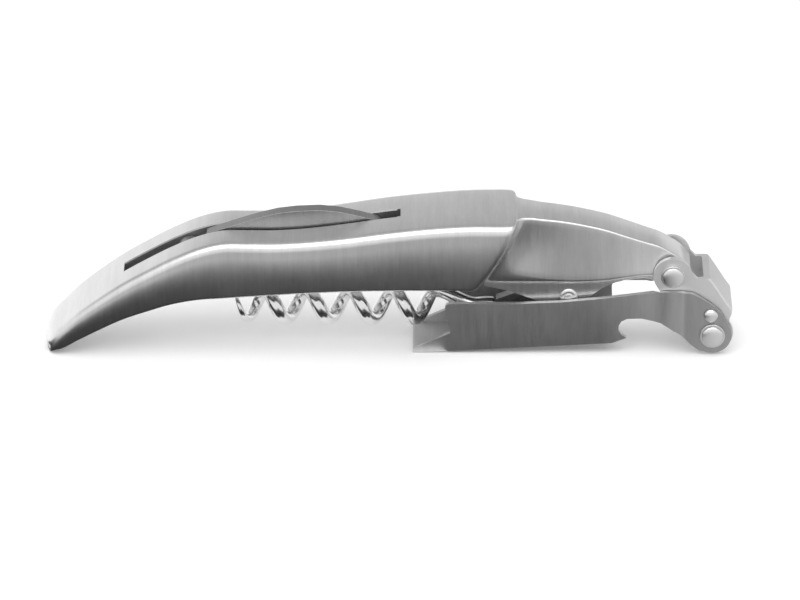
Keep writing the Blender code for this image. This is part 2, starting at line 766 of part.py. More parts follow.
def worm_hub():
    """The flat arm that carries the worm, turning between the handle's ears."""
    face_x = -WORM_SHANK_END_SETBACK + SEAT_GAP
    drop = WORM_AXIS_HEIGHT - WORM_PIVOT.z
    outline = [(face_x, drop + WORM_SHANK_RADIUS), (face_x, drop - WORM_SHANK_RADIUS)]
    outline += arc((0, 0), HUB_EYE_RADIUS, -100, 120, 18)
    hub = plate("worm_hub", outline, HUB_THICKNESS / 2, WORM_PIVOT, SATIN)
    bore = WORM_RIVET_RADIUS + BORE_CLEARANCE
    side_cut = HUB_THICKNESS + CUT_OVERRUN
    return cut(hub, drum("hub_bore", bore, -side_cut, side_cut, WORM_PIVOT))


def rivet(name, shaft, head, head_height, grip_half, place, material):
    """A rivet through the handle: a shaft and a domed head over each side's face."""
    face = grip_half + RUNNING_GAP
    profile = [(0, face + head_height)]
    for share in (0.5, 0.8, 0.95, 1.0):
        height = head_height * math.sqrt(1 - share**2)
        profile.append((head * share, face + height))
    profile[-1] = (head, face + head_height / 4)
    profile += [(head, face), (shaft, face)]
    profile += [(radius, -along) for radius, along in reversed(profile)]
    return turned(name, profile, place, material)


def washer(name, bore, radius, low, high, place, material):
    profile = ((bore, low), (bore, high), (radius, high), (radius, low))
    return turned(name, profile, place, material, closed=True)


def link_point(share):
    across, up = share
    return (across * LINK_REACH, up * LINK_DROP)


def bend_along(target, path, radius):
    """Rounds both long edges of a plate where its outline follows a path."""
    mesh = target.data
    shell = bmesh.new()
    shell.from_mesh(mesh)
    flat = math.radians(0.1)
    bmesh.ops.dissolve_limit(shell, angle_limit=flat, verts=shell.verts, edges=shell.edges)
    weight = shell.edges.layers.float.new("bevel_weight_edge")
    places = [Vector((across, 0, up)) for across, up in path]

    def nearest(vertex):
        flat_place = Vector((vertex.co.x, 0, vertex.co.z))
        gaps = [(flat_place - place).length for place in places]
        return gaps.index(min(gaps)) if min(gaps) < SEAT_GAP / 100 else None

    for edge in shell.edges:
        first, last = edge.verts
        ends = (nearest(first), nearest(last))
        if None not in ends and abs(ends[0] - ends[1]) == 1 and first.co.y * last.co.y > 0:
            edge[weight] = 1
    shell.to_mesh(mesh)
    shell.free()
    bend = target.modifiers.new("bend", "BEVEL")
    bend.limit_method = "WEIGHT"
    bend.width = radius
    bend.segments = 6
    return target


def link_bracket():
    """The bent plate that joins the handle to the lever: two ears and a web."""
    foot = (LINK_REACH, -LINK_DROP)
    outline = arc((0, 0), LINK_EYE_RADIUS, 9, 213, 18)
    outline += arc(foot, LINK_FOOT_RADIUS, 211, 395, 18)
    web = [link_point(share) for share in LINK_WEB_SHARES]
    outline += web[:-1]
    link = plate("link_bracket", outline, LINK_OUTER_HALF, LINK_PIVOT, POLISHED)
    bend_along(link, web[1:7], LINK_OUTER_BEND)

    head_corner = Vector(web[5])
    foot_corner = Vector(web[1])
    along = (foot_corner - head_corner).normalized()
    inward = Vector((along.y, -along.x)) * LINK_WEB_THICKNESS
    top = head_corner + inward - along * 3 * LINK_EYE_RADIUS
    bottom = foot_corner + inward
    out = LINK_FOOT_RADIUS + CUT_OVERRUN
    channel = (
        tuple(top),
        tuple(bottom),
        (bottom.x + out, bottom.y),
        (bottom.x + out, foot[1] - out),
        (-out, foot[1] - out),
        (-out, top.y),
    )
    space = plate("link_channel", channel, LINK_INNER_WIDTH / 2, LINK_PIVOT)
    cut(link, bend_along(space, channel[:2], LINK_INNER_BEND))

    slot_half = STOP_PIN_RADIUS + RUNNING_GAP + BORE_CLEARANCE
    start = math.degrees(STOP_PIN_ANGLE)
    end = math.degrees(STOP_PIN_ANGLE + LEVER_SWING)
    pin_start = arc(foot, STOP_PIN_SWING, start, start, 0)[0]
    pin_end = arc(foot, STOP_PIN_SWING, end, end, 0)[0]
    track = arc(foot, STOP_PIN_SWING + slot_half, start, end, 20)
    track += arc(pin_end, slot_half, end, end + 180, 8)[1:-1]
    track += arc(foot, STOP_PIN_SWING - slot_half, end, start, 20)
    track += arc(pin_start, slot_half, start + 180, start + 360, 8)[1:-1]
    cut(link, plate("stop_track", track, LINK_OUTER_HALF + CUT_OVERRUN, LINK_PIVOT))

    side = LINK_OUTER_HALF + CUT_OVERRUN
    lever_bore = LEVER_RIVET_RADIUS + BORE_CLEARANCE
    link_bore = LINK_RIVET_RADIUS + BORE_CLEARANCE
    return cut(
        link,
        drum("link_eye", link_bore, -side, side, LINK_PIVOT),
        drum("link_foot_eye", lever_bore, -side, side, LEVER_PIVOT),
    )


def lever_point(share):
    """A point of the lever's side, from its pivot, for shares of its length and height."""
    along, up = share
    return (-along * LEVER_LENGTH, up * LEVER_HEIGHT - LEVER_PIVOT.z)


def lever_arm():
    """The lever: a channel with a jaw, a bottle opener and a wider hinge end."""
    outline = [lever_point(share) for share in LEVER_EDGE_SHARES]
    outline += arc((0, 0), LEVER_END_RADIUS, 36, -115, 16)
    lip = lever_point(LEVER_LIP_SHARES)
    outline.append(lever_point(LEVER_HOOK_SHARES))
    outline.append(lip)
    lever = plate("lever_arm", outline, LEVER_HINGE_HALF, LEVER_PIVOT, SATIN)

    tip = lever_point((1, 0))
    outer = LEVER_OUTER_WIDTH / 2
    inner = outer - LEVER_WALL
    hinge_inner = LEVER_HINGE_INNER_WIDTH / 2
    jog_start = -LEVER_JOG_SETBACK
    jog_end = jog_start + LEVER_JOG_LENGTH
    low = -LEVER_PIVOT.z - CUT_OVERRUN
    high = LEVER_HEIGHT + CUT_OVERRUN
    left = tip[0] - CUT_OVERRUN
    right = LEVER_END_RADIUS + CUT_OVERRUN
    slope = (lip[1] - tip[1]) / (lip[0] - tip[0])
    floor_left = tip[1] + LEVER_FLOOR - slope * CUT_OVERRUN
    floor_right = tip[1] + LEVER_FLOOR + slope * (jog_start - tip[0])
    channel = ((left, floor_left), (jog_start, floor_right), (jog_start, high), (left, high))
    cut(lever, plate("lever_channel", channel, inner, LEVER_PIVOT))
    hinge_space = (
        (jog_start - LEVER_WALL, -inner),
        (jog_start, -inner),
        (jog_end, -hinge_inner),
        (right, -hinge_inner),
        (right, hinge_inner),
        (jog_end, hinge_inner),
        (jog_start, inner),
        (jog_start - LEVER_WALL, inner),
    )
    middle = (low + high) / 2
    half_depth = (high - low) / 2
    space = plate("hinge_space", hinge_space, half_depth, LEVER_PIVOT, plane="XY", middle=middle)
    cut(lever, space)
    outer_start = -LEVER_OUTER_JOG_SETBACK
    outer_end = outer_start + LEVER_OUTER_JOG_LENGTH
    for name, turn in (("near_trim", -1), ("far_trim", 1)):
        trim = (
            (left, turn * outer),
            (outer_start, turn * outer),
            (outer_end, turn * LEVER_HINGE_HALF),
            (outer_end, turn * (LEVER_HINGE_HALF + CUT_OVERRUN)),
            (left, turn * (LEVER_HINGE_HALF + CUT_OVERRUN)),
        )
        cut(lever, plate(name, trim, half_depth, LEVER_PIVOT, plane="XY", middle=middle))
    for name, shares, turn in (
        ("bottle_opener", NEAR_NOTCH_SHARES, 1),
        ("cap_clearance", FAR_NOTCH_SHARES, -1),
    ):
        notch = [lever_point(share) for share in shares]
        notch.append((notch[-1][0], low))
        notch.append((notch[0][0], low))
        depth = LEVER_HINGE_HALF + CUT_OVERRUN
        half = depth / 2
        cut(lever, plate(name, notch, half, LEVER_PIVOT, middle=turn * half))
    side = LEVER_HINGE_HALF + CUT_OVERRUN
    rivet_bore = LEVER_RIVET_RADIUS + BORE_CLEARANCE
    pin_bore = STOP_PIN_RADIUS + BORE_CLEARANCE
    return cut(
        lever,
        drum("lever_eye", rivet_bore, -side, side, LEVER_PIVOT),
        drum("stop_pin_eye", pin_bore, -side, side, stop_pin_place()),
    )


def stop_pin_place():
    return LEVER_PIVOT + STOP_PIN_SWING * Vector(
        (math.cos(STOP_PIN_ANGLE), 0, math.sin(STOP_PIN_ANGLE))
    )


def build():
    body = handle_body()
    knife = knife_blade()
    knife_half = GRIP_WIDTH / 2 - PIN_END_INSET
    knife_pin = plain_pin(
        "knife_pivot_pin", KNIFE_PIN_RADIUS, KNIFE_PIVOT, -PIN_BLIND_DEPTH, knife_half, SATIN
    )
    leaf = back_spring()
    spring_place = spring_pin_place()
    spring_pin = plain_pin(
        "spring_pin", SPRING_PIN_RADIUS, spring_place, -PIN_BLIND_DEPTH, knife_half, SATIN
    )

    worm = worm_spiral()
    hub = worm_hub()
    worm_rivet = rivet(
        "worm_rivet",
        WORM_RIVET_RADIUS,
        WORM_RIVET_HEAD_RADIUS,
        WORM_RIVET_HEAD_HEIGHT,
        EAR_PLATE_WIDTH / 2,
        WORM_PIVOT,
        POLISHED,
    )
    worm_washers = []
    worm_bore = WORM_RIVET_RADIUS + BORE_CLEARANCE
    low = HUB_THICKNESS / 2 + RUNNING_GAP
    high = HUB_SLOT_WIDTH / 2 - RUNNING_GAP
    for name, span in (("worm_washer_near", (-high, -low)), ("worm_washer_far", (low, high))):
        made = washer(name, worm_bore, WORM_WASHER_RADIUS, *span, WORM_PIVOT, SATIN)
        worm_washers.append(made)

    link = link_bracket()
    washer_low = LINK_OUTER_HALF + RUNNING_GAP
    washer_high = washer_low + WASHER_THICKNESS
    link_rivet = rivet(
        "link_rivet",
        LINK_RIVET_RADIUS,
        LINK_RIVET_HEAD_RADIUS,
        LINK_RIVET_HEAD_HEIGHT,
        washer_high,
        LINK_PIVOT,
        POLISHED,
    )
    link_bore = LINK_RIVET_RADIUS + BORE_CLEARANCE
    near = (-washer_high, -washer_low)
    far = (washer_low, washer_high)
    link_washers = []
    for name, span in (("link_washer_near", near), ("link_washer_far", far)):
        made = washer(name, link_bore, LINK_WASHER_RADIUS, *span, LINK_PIVOT, POLISHED)
        link_washers.append(made)

    lever = lever_arm()
    washer_low = LEVER_HINGE_HALF + RUNNING_GAP
    washer_high = washer_low + WASHER_THICKNESS
    lever_rivet = rivet(
        "lever_rivet",
        LEVER_RIVET_RADIUS,
        LEVER_RIVET_HEAD_RADIUS,
        LEVER_RIVET_HEAD_HEIGHT,
        washer_high,
        LEVER_PIVOT,
        POLISHED,
    )
    lever_bore = LEVER_RIVET_RADIUS + BORE_CLEARANCE
    near = (-washer_high, -washer_low)
    far = (washer_low, washer_high)
    lever_washers = []
    for name, span in (("lever_washer_near", near), ("lever_washer_far", far)):
        made = washer(name, lever_bore, LEVER_WASHER_RADIUS, *span, LEVER_PIVOT, POLISHED)
        lever_washers.append(made)
    stop_pin = rivet(
        "stop_pin",
        STOP_PIN_RADIUS,
        STOP_PIN_HEAD_RADIUS,
        STOP_PIN_HEAD_HEIGHT,
        LEVER_HINGE_HALF,
        stop_pin_place(),
        POLISHED,
    )
    bush_half = LINK_INNER_WIDTH / 2 - RUNNING_GAP
    bush = washer("lever_bush", lever_bore, BUSH_RADIUS, -bush_half, bush_half, LEVER_PIVOT, SATIN)

    carry(axis("knife_axis", KNIFE_PIVOT), knife)
    carry(axis("worm_axis", WORM_PIVOT), worm, hub)
    link_axis = axis("link_axis", LINK_PIVOT)
    carry(link_axis, link, bush, lever_rivet)
    lever_axis = axis("lever_axis", LEVER_PIVOT)
    carry(lever_axis, lever, stop_pin, *lever_washers)
    lever_axis.parent = link_axis
    lever_axis.location = LEVER_PIVOT - LINK_PIVOT
    handle_axis = axis("handle_axis", (0, 0, 0))
    fixed = (body, knife_pin, leaf, spring_pin, worm_rivet, *worm_washers, link_rivet)
    carry(handle_axis, *fixed, *link_washers)


build()
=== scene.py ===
"""Looks of a closed waiter's friend corkscrew, laid out as a Blender add-on and run as a script.

Lengths are in metres. X runs from the handle's tail to the hinge, the near side is at -Y,
and Z is the height over the table.
"""

import json
import math

import bmesh
import bpy
import numpy as np
from bpy.props import FloatProperty, IntProperty, PointerProperty
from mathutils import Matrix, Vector


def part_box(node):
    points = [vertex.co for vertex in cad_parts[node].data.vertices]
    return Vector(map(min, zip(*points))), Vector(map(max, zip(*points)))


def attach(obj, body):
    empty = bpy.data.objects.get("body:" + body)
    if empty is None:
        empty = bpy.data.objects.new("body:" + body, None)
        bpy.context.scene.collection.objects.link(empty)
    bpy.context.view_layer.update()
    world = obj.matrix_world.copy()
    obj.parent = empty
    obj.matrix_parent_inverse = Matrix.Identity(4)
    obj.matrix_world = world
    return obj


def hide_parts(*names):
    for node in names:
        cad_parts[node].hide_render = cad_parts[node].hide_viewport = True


bl_info = {
    "name": "Waiter's friend corkscrew",
    "version": (1, 0, 0),
    "blender": (4, 5, 0),
    "location": "View3D > Sidebar > Corkscrew",
    "description": "Dresses the corkscrew's frame with its finished pieces and metals",
    "category": "Object",
}

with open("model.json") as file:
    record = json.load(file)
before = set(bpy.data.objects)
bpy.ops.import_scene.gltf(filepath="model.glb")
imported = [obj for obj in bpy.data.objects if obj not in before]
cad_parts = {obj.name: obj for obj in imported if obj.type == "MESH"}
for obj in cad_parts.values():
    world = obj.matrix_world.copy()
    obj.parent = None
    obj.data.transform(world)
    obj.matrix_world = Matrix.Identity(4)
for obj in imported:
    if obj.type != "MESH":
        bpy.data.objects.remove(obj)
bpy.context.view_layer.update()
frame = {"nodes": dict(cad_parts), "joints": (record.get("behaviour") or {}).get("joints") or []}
PIVOTS = {joint["name"]: Vector(joint["pos_m"]) for joint in frame["joints"]}
HANDLE_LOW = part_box("handle_body")[0]

# Each row: the place of a section's top along the handle, its lean, its top, widest and
# lowest heights as shares of the handle's height, and its width from head (0) to grip (1).
STATION_SHARES = np.array((
    (0.000, 0.00, 0.060, 0.032, 0.018, 0.16),
    (0.002, 0.00, 0.098, 0.039, 0.005, 0.37),
    (0.010, 0.00, 0.150, 0.077, 0.018, 0.49),
    (0.025, 0.00, 0.211, 0.135, 0.039, 0.55),
    (0.048, 0.00, 0.304, 0.206, 0.095, 0.60),
    (0.081, 0.00, 0.420, 0.303, 0.178, 0.67),
    (0.119, 0.00, 0.538, 0.410, 0.264, 0.72),
    (0.158, 0.00, 0.640, 0.500, 0.330, 0.76),
    (0.197, 0.00, 0.733, 0.574, 0.386, 0.78),
    (0.237, 0.00, 0.810, 0.626, 0.421, 0.80),
    (0.275, 0.00, 0.853, 0.652, 0.433, 0.81),
    (0.314, 0.00, 0.856, 0.655, 0.446, 0.82),
    (0.359, 0.00, 0.856, 0.655, 0.460, 0.83),
    (0.410, 0.00, 0.872, 0.665, 0.476, 0.86),
    (0.470, 0.00, 0.906, 0.690, 0.493, 0.92),
    (0.535, 0.05, 0.949, 0.723, 0.501, 0.95),
    (0.601, 0.16, 0.981, 0.742, 0.504, 0.96),
    (0.656, 0.32, 0.998, 0.752, 0.506, 0.98),
    (0.692, 0.46, 1.000, 0.755, 0.507, 1.00),
    (0.712, 0.53, 1.000, 0.750, 0.507, 1.00),
    (0.720, 0.54, 1.000, 0.742, 0.507, 0.98),
    (0.725, 0.54, 1.000, 0.722, 0.507, 0.91),
    (0.728, 0.54, 1.000, 0.695, 0.505, 0.78),
    (0.729, 0.54, 1.000, 0.665, 0.502, 0.62),
    (0.730, 0.54, 0.999, 0.632, 0.498, 0.45),
    (0.732, 0.54, 0.998, 0.600, 0.494, 0.29),
    (0.736, 0.53, 0.997, 0.572, 0.491, 0.18),
    (0.743, 0.52, 0.993, 0.553, 0.487, 0.11),
    (0.754, 0.48, 0.988, 0.540, 0.484, 0.06),
    (0.769, 0.42, 0.977, 0.529, 0.481, 0.03),
    (0.799, 0.28, 0.960, 0.519, 0.481, 0.01),
    (0.832, 0.14, 0.933, 0.515, 0.481, 0.00),
    (0.868, 0.04, 0.894, 0.526, 0.481, 0.00),
    (0.901, 0.00, 0.844, 0.548, 0.508, -0.01),
    (0.930, 0.00, 0.799, 0.561, 0.516, -0.05),
    (0.952, 0.00, 0.765, 0.561, 0.481, -0.08),
    (0.971, 0.00, 0.716, 0.558, 0.444, -0.09),
    (0.985, 0.00, 0.672, 0.555, 0.458, -0.09),
    (0.995, 0.00, 0.619, 0.555, 0.497, -0.11),
    (0.999, 0.00, 0.597, 0.555, 0.523, -0.16),
    (1.000, 0.00, 0.581, 0.555, 0.535, -0.24),
))
EAR_FRONT_SHARES = ((-0.811, 1.207), (-0.609, 1.130), (-0.455, 1.034), (-0.270, 0.899))
EAR_BACK_SHARES = (
    (0.248, 1.065),
    (0.311, 1.150),
    (0.384, 1.228),
    (0.452, 1.277),
    (0.520, 1.306),
)

KNIFE_BORE, SPRING_BORE, WORM_BORE = 0.0013, 0.0008, 0.00135
LINK_BORE, LEVER_BORE = 0.0016, 0.00145
BLIND_END, PAST_SIDE = -0.0053, 0.02
COIL_RADIUS = 0.0031
SAME_POINT = 2e-6

# Noise scales along X, Y and Z: streaks run where the scale is low.
BRUSHED_ACROSS = (3000, 250, 250)
CUT_ALONG = (200, 3000, 3000)

IMAGE_WIDTH, PIXELS_PER_MM, SENSOR = 800, 4.7, 36
CARD_HEIGHT = 0.0004


class HandleSizes(bpy.types.PropertyGroup):
    """Sizes of the handle that are not taken from the frame."""

    body_length: FloatProperty(
        name="Length", description="Length of the casting", default=0.13685, unit="LENGTH"
    )
    body_height: FloatProperty(
        name="Height", description="Height of the casting's top", default=0.031, unit="LENGTH"
    )
    grip_width: FloatProperty(
        name="Grip width", description="Width of the grip's section", default=0.0221, unit="LENGTH"
    )
    head_width: FloatProperty(
        name="Head width", description="Width of the head's section", default=0.0107, unit="LENGTH"
    )
    ear_inset: FloatProperty(
        name="Ear inset", description="Ears' step in from the head", default=0.0005, unit="LENGTH"
    )
    rim_chamfer: FloatProperty(
        name="Rim chamfer", description="Chamfer on the slot's rim", default=0.0003, unit="LENGTH"
    )
    smoothing: IntProperty(
        name="Smoothing", description="Sections made for each given one", default=6, min=1
    )


class WormSizes(bpy.types.PropertyGroup):
    """Sizes of the worm."""

    pitch: FloatProperty(
        name="Pitch", description="Length of one turn", default=0.00915, unit="LENGTH"
    )
    coil_radius: FloatProperty(
        name="Coil radius", description="Axis to wire", default=COIL_RADIUS, unit="LENGTH"
    )
    wire_radius: FloatProperty(
        name="Wire radius", description="Half the wire", default=0.0015, unit="LENGTH"
    )
    shank_radius: FloatProperty(
        name="Shank radius", description="Half the shank", default=0.00165, unit="LENGTH"
    )
    turns: FloatProperty(name="Turns", description="Turns from the tip", default=4.4)


class MetalColours(bpy.types.PropertyGroup):
    """Grey levels and roughness of the metals."""

    handle_grey: FloatProperty(name="Handle", description="Grey of the casting", default=0.84)
    lever_grey: FloatProperty(name="Lever", description="Grey of the lever", default=0.62)
    bright_grey: FloatProperty(name="Bright", description="Grey of bright pieces", default=0.88)
    blade_grey: FloatProperty(name="Blade", description="Grey of the blade", default=0.34)
    # Darker grey of the cut walls and of the pieces inside the slots: painted shade of the
    # recesses.
    recess_shade_grey: FloatProperty(name="Cavity", description="Grey of cut walls", default=0.35)
    handle_rough: FloatProperty(name="Handle roughness", description="Satin", default=0.33)
    lever_rough: FloatProperty(name="Lever roughness", description="Satin", default=0.46)


class Flow:
    """A shader socket that Python's operators work on, each adding one Math node."""

    def __init__(self, tree, socket):
        self.tree = tree
        self.socket = socket

    def join(self, operation, first, second=None):
        node = self.tree.nodes.new("ShaderNodeMath")
        node.operation = operation
        for place, value in enumerate((first, second)):
            if isinstance(value, Flow):
                self.tree.links.new(value.socket, node.inputs[place])
            elif value is not None:
                node.inputs[place].default_value = value
        return Flow(self.tree, node.outputs[0])

    def __add__(self, other):
        return self.join("ADD", self, other)

    def __radd__(self, other):
        return self.join("ADD", other, self)

    def __sub__(self, other):
        return self.join("SUBTRACT", self, other)

    def __rsub__(self, other):
        return self.join("SUBTRACT", other, self)

    def __mul__(self, other):
        return self.join("MULTIPLY", self, other)

    def __rmul__(self, other):
        return self.join("MULTIPLY", other, self)

    def __truediv__(self, other):
        return self.join("DIVIDE", self, other)

    def clamped(self):
        node = self.join("ADD", self, 0.0)
        node.socket.node.use_clamp = True
        return node

    def most(self, other):
        return self.join("MAXIMUM", self, other)


class Finish:
    """A material's nodes, each made by one call."""

    def __init__(self, name, world=None):
        owner = world or bpy.data.materials.new(name)
        owner.use_nodes = True
        owner.node_tree.nodes.clear()
        self.owner = owner
        self.tree = owner.node_tree

    def node(self, kind, settings=None, inputs=None, output=0):
        made = self.tree.nodes.new(kind)
        for key, value in (settings or {}).items():
            if key == "stops":
                ramp = made.color_ramp
                while len(ramp.elements) < len(value):
                    ramp.elements.new(0.5)
                for element, (place, grey) in zip(ramp.elements, value):
                    element.position = place
                    element.color = (grey, grey, grey, 1)
            else:
                setattr(made, key, value)
        for key, value in (inputs or {}).items():
            if isinstance(value, Flow):
                self.tree.links.new(value.socket, made.inputs[key])
            else:
                made.inputs[key].default_value = value
        return Flow(self.tree, made.outputs[output])

    def grey(self, level):
        """A grey colour from a level that changes over the surface."""
        return self.node("ShaderNodeCombineColor", None, {0: level, 1: level, 2: level})

    def axes(self, place):
        """A place's X, Y and Z."""
        outputs = self.node("ShaderNodeSeparateXYZ", None, {0: place}).socket.node.outputs
        return [Flow(self.tree, output) for output in outputs]

    def ray_kinds(self):
        """Whether a ray comes from the camera, a reflection or a clear surface."""
        outputs = self.node("ShaderNodeLightPath").socket.node.outputs
        names = ("Is Camera Ray", "Is Glossy Ray", "Is Transmission Ray")
        return [Flow(self.tree, outputs[name]) for name in names]

    def steel(self, level, roughness, bump):
        colour = self.grey(level)
        inputs = {"Base Color": colour, "Metallic": 1.0, "Roughness": roughness}
        inputs["Normal"] = bump
        return self.done(self.node("ShaderNodeBsdfPrincipled", None, inputs))

    def grey_glow(self, level):
        colour = (level, level, level, 1)
        return self.done(self.node("ShaderNodeEmission", None, {"Color": colour}))

    def done(self, shader):
        kind = "ShaderNodeOutputWorld" if self.owner.id_type == "WORLD" else None
        out = self.tree.nodes.new(kind or "ShaderNodeOutputMaterial")
        self.tree.links.new(shader.socket, out.inputs[0])
        return self.owner


def streaked(name, grey, rough, scale, depth=0.16, relief=0.14, painted_light=None):
    """Brushed metal: fine streaks, broader bands of them and soft clouds.

    The streaks are noise on object coordinates that are stretched along the brushing,
    fine across it. They darken the metal a little, roughen it and dent it. A painted light
    makes a factor for the grey out of the place, for painted highlights and painted shade.
    """
    metal = Finish(name)
    place = metal.node("ShaderNodeTexCoord", output=3)

    def noise(factors, detail):
        stretched = metal.node("ShaderNodeMapping", None, {0: place, 3: factors})
        inputs = {"Vector": stretched, "Scale": 1.0, "Detail": detail, "Roughness": 0.6}
        return metal.node("ShaderNodeTexNoise", None, inputs)

    fine = noise(scale, 3.0)
    bands = noise(tuple(value * 0.22 for value in scale), 2.0)
    clouds = noise((90, 90, 90), 3.0)
    level = grey * (1 + (fine - 0.5) * depth + (bands - 0.5) * depth * 1.2 + (clouds - 0.5) * 0.08)
    # Painted highlights and painted shade: a factor on the grey, where one is given.
    if painted_light:
        level = level * painted_light(metal, place)
    roughness = (rough + (fine - 0.5) * 0.16 + (clouds - 0.5) * 0.10).clamped()
    height = fine * 0.7 + bands * 0.3
    dents = {"Strength": relief, "Distance": 0.00004, "Height": height}
    return metal.steel(level, roughness, metal.node("ShaderNodeBump", None, dents))


def polished(name, grey, rough):
    """Bright metal with faint smears and a very slight waviness."""
    metal = Finish(name)
    place = metal.node("ShaderNodeTexCoord", output=3)
    smears = {"Vector": place, "Scale": 420.0, "Detail": 4.0}
    smear = metal.node("ShaderNodeTexNoise", None, smears)
    grains = {"Vector": place, "Scale": 2600.0, "Detail": 2.0}
    grain = metal.node("ShaderNodeTexNoise", None, grains)
    level = grey * (1 + (smear - 0.5) * 0.10)
    roughness = (rough + (smear - 0.5) * 0.12 + (grain - 0.5) * 0.06).clamped()
    waves = {"Strength": 0.05, "Distance": 0.00005, "Height": smear}
    return metal.steel(level, roughness, metal.node("ShaderNodeBump", None, waves))


def lever_painted_light(metal, place):
    """Painted light on the lever's grey: a painted highlight on the jaw's floor and on the band
    where the side is pressed outwards, and painted shade towards the hinge. The factor is clamped
    to one at most, so the painted highlights only hold back the hinge's painted shade where they
    meet it.
    """
    along, across, _ = metal.axes(place)
    inner_half, jaw_end, jog_start, jog_end, hinge_start = 0.0058, 0.0125, 0.0545, 0.0620, 0.0615
    inside = ((inner_half - across.join("ABSOLUTE", across)) / 0.0002).clamped()
    # Painted highlight on the jaw's floor.
    jaw_highlight = inside * ((jaw_end - along) / 0.0006).clamped()
    # Painted highlight on the band where the side is pressed outwards.
    jog_highlight = ((along - jog_start) / 0.0035).clamped() * ((jog_end - along) / 0.0008).clamped()
    # Painted shade towards the hinge.
    hinge = ((along - hinge_start) / 0.001).clamped()
    return (1 + jaw_highlight * 0.55 + jog_highlight * 0.6 - hinge * 0.25).clamped()


METALS = {}


def make_metals():
    looks = bpy.context.scene.corkscrew_metals
    METALS["handle"] = streaked(
        "handle_brushed", looks.handle_grey, looks.handle_rough, BRUSHED_ACROSS
    )
    # The lever's grey carries painted highlights and painted shade.
    METALS["lever"] = streaked(
        "lever_satin_painted_light", looks.lever_grey, looks.lever_rough, BRUSHED_ACROSS, painted_light=lever_painted_light
    )
    METALS["blade"] = streaked("blade_ground", looks.blade_grey, 0.30, BRUSHED_ACROSS)
    # Machined streaks along X are the cut walls' own; their dark grey is painted shade of the
    # slots and bores.
    METALS["recess_shade"] = streaked("cut_walls_painted_shade", looks.recess_shade_grey, 0.5, CUT_ALONG)
    METALS["worm"] = polished("worm_bright", looks.bright_grey, 0.20)
    METALS["link"] = polished("link_bright", looks.bright_grey, 0.44)
    METALS["rivet"] = polished("rivet_bright", looks.bright_grey, 0.30)
    METALS["washer"] = polished("washer_bright", looks.bright_grey * 0.9, 0.24)


def surface(name, rows, metal, wrap_rows=False, wrap_columns=False, capped=False):
    """A mesh from a grid of points, rows by columns by three.

    Neighbouring points of the grid make quads, made for all of them at once. A grid may
    close on itself either way, and capped ends each get one flat face.
    """
    count, width = rows.shape[:2]
    down = np.arange(count if wrap_rows else count - 1)[:, None]
    across = np.arange(width if wrap_columns else width - 1)[None, :]
    next_down = (down + 1) % count
    next_across = (across + 1) % width
    corners = (
        down * width + across,
        down * width + next_across,
        next_down * width + next_across,
        next_down * width + across,
    )
    quads = np.stack([np.broadcast_to(c, (down.size, across.size)) for c in corners], -1)
    faces = quads.reshape(-1, 4).tolist()
    if capped:
        faces.append(list(range(width))[::-1])
        faces.append(list(range((count - 1) * width, count * width)))
    mesh = bpy.data.meshes.new(name)
    mesh.from_pydata(rows.reshape(-1, 3).tolist(), [], faces)
    return piece(name, mesh, metal)


def piece(name, mesh, metal, sharp=35):
    """An object from a mesh whose doubles are merged and whose faces point outwards."""
    shell = bmesh.new()
    shell.from_mesh(mesh)
    bmesh.ops.remove_doubles(shell, verts=shell.verts, dist=SAME_POINT)
    bmesh.ops.recalc_face_normals(shell, faces=shell.faces)
    shell.to_mesh(mesh)
    shell.free()
    mesh.shade_smooth()
    mesh.set_sharp_from_angle(angle=math.radians(sharp))
    if metal is not None:
        mesh.materials.append(METALS[metal])
    made = bpy.data.objects.new(name, mesh)
    bpy.context.scene.collection.objects.link(made)
    return made


def combine(target, others, operation):
    for other in others:
        step = target.modifiers.new(other.name, "BOOLEAN")
        step.operation = operation
        step.solver = "EXACT"
        step.object = other


def changed(target, others, operation, sharp=32):
    """The target with other shapes cut from it or joined to it, as one finished mesh."""
    combine(target, others, operation)
    return settled(target, sharp, others)


def settled(target, sharp, spent=()):
    """Applies what is on the target, and removes shapes that are used up."""
    bpy.context.view_layer.update()
    graph = bpy.context.evaluated_depsgraph_get()
    mesh = bpy.data.meshes.new_from_object(target.evaluated_get(graph))
    target.modifiers.clear()
    target.data = mesh
    if sharp is not None:
        mesh.shade_smooth()
        mesh.set_sharp_from_angle(angle=math.radians(sharp))
    for other in spent:
        bpy.data.objects.remove(other, do_unlink=True)
    return target


def smooth_rows(rows, steps):
    """Rows between the given ones, on Catmull-Rom curves through them."""
    padded = np.vstack((rows[:1], rows, rows[-1:]))
    before, low, high, after = (padded[i : len(rows) - 1 + i, None] for i in range(4))
    t = (np.arange(steps) / steps)[None, :, None]
    bend = (2 * before - 5 * low + 4 * high - after) * t**2
    twist = (3 * low - before - 3 * high + after) * t**3
    made = low + ((high - before) * t + bend + twist) / 2
    return np.vstack((made.reshape(-1, rows.shape[1]), rows[-1:]))


def rounded_corner(last, corner, following, cut, steps):
    """Points on a quadratic curve that rounds one corner of every section at once.

    The curve starts and ends the cut's distance from the corner, or 45 hundredths of
    the side that it lies on where that is less.
    """
    t = np.linspace(0, 1, steps + 1)[None, :, None]
    to_last, to_next = last - corner, following - corner
    reach_last = np.minimum(cut / np.linalg.norm(to_last, axis=-1, keepdims=True), 0.45)
    reach_next = np.minimum(cut / np.linalg.norm(to_next, axis=-1, keepdims=True), 0.45)
    start = (corner + to_last * reach_last)[:, None]
    end = (corner + to_next * reach_next)[:, None]
    return (1 - t) ** 2 * start + 2 * t * (1 - t) * corner[:, None] + t**2 * end


